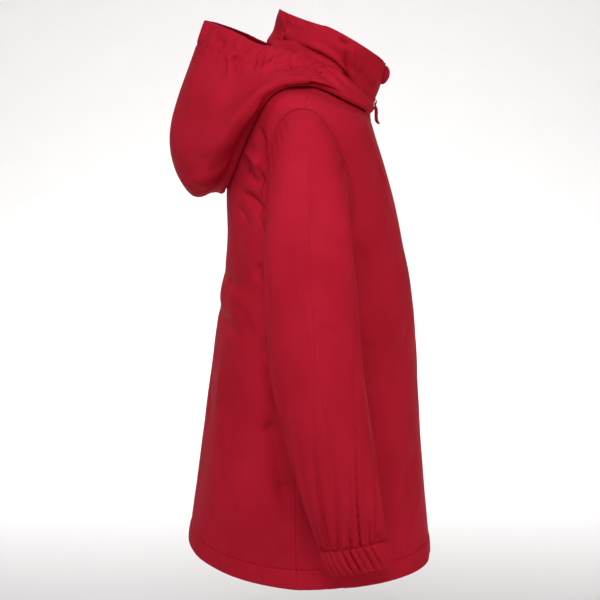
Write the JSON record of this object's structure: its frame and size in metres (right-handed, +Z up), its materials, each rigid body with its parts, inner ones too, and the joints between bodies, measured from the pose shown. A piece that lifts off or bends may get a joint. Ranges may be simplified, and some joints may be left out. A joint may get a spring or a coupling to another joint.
{
  "type": "kids rain jacket",
  "caption": "Child's hooded rain jacket of coated nylon with a full front zip, stand-up collar, folded-down hood and elastic cuffs, filled out as worn.",
  "frame": {"origin": "on the centre plane at the height of the shoulders' inner ends, where the wearer's neck and shoulders carry the jacket", "axes": "+X toward the wearer's left, the front faces -Y, +Z up"},
  "size_m": [0.456, 0.2729, 0.5734],
  "materials": {
    "red_coated_nylon": "fine woven nylon with a matt, slightly sheeny coating",
    "red_coated_nylon_trim": "the same coated nylon, doubled and gathered",
    "red_polyester_tape": "woven zip tape",
    "red_coil_chain": "moulded nylon coil",
    "red_lacquered_slider": "lacquered die-cast slider",
    "red_moulded_puller": "moulded rubbery plastic"
  },
  "bodies": {
    "jacket": {"back": "red_coated_nylon", "front_right": "red_coated_nylon", "front_left": "red_coated_nylon", "sleeve_right": "red_coated_nylon", "sleeve_left": "red_coated_nylon", "hood_right": "red_coated_nylon", "hood_left": "red_coated_nylon", "cuff_right": "red_coated_nylon_trim", "cuff_left": "red_coated_nylon_trim", "collar": "red_coated_nylon_trim", "chin_guard": "red_coated_nylon_trim", "zip_tape_right": "red_polyester_tape", "zip_tape_left": "red_polyester_tape", "zip_chain": "red_coil_chain", "zip_teeth_right": "red_coil_chain", "zip_teeth_left": "red_coil_chain", "zip_slider": "red_lacquered_slider"},
    "zip_pull": {"zip_puller": "red_moulded_puller"}
  },
  "joints": [
    {"name": "puller_swing", "type": "hinge", "parent": "jacket", "child": "zip_pull", "pos_m": [0, -0.0706, -0.03551], "axis": [-1, 0, 0], "range_deg": [-6, 120]}
  ]
}
